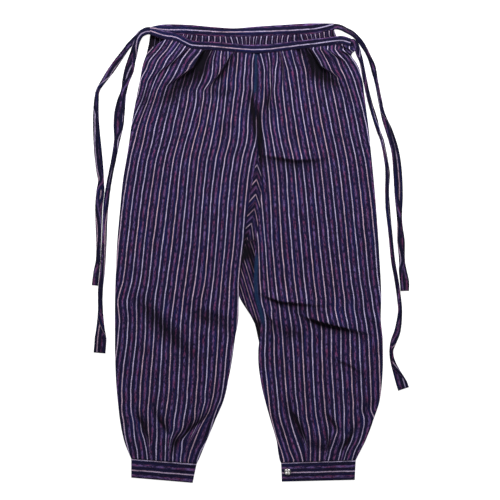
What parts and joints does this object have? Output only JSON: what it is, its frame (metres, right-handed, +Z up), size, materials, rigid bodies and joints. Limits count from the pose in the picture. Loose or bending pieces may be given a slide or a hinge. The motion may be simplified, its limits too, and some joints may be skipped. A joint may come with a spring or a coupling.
{
  "type": "monpe trousers",
  "caption": "Loose gathered work trousers in striped indigo cotton, laid flat, with a tie at each end of both waistbands and gathered ankle cuffs.",
  "frame": {"origin": "middle of the laid-out garment's box, on the surface it lies on", "axes": "+Y towards the waist, +X towards the wearer's left leg, +Z up from the surface, out of the front of the garment"},
  "size_m": [0.6347, 0.919, 0.0119],
  "materials": {
    "striped_cloth": "matt woven cotton, indigo with lavender and purple stripes along the leg",
    "gusset_cloth": "the same cotton cut on the bias",
    "band_cloth": "the same cotton, its stripes running lengthwise",
    "snap_metal": "pressed nickel-plated cap"
  },
  "bodies": {
    "root": {"leg_front_right": "striped_cloth", "leg_front_left": "striped_cloth", "leg_back_right": "striped_cloth", "leg_back_left": "striped_cloth", "gusset_right": "gusset_cloth", "gusset_left": "gusset_cloth", "waistband_front": "band_cloth", "waistband_back": "band_cloth", "tie_front_right": "band_cloth", "tie_front_left": "band_cloth", "tie_back_right": "band_cloth", "tie_back_left": "band_cloth", "cuff_right": "band_cloth", "cuff_left": "band_cloth", "snap_cap": "snap_metal"}
  },
  "joints": []
}
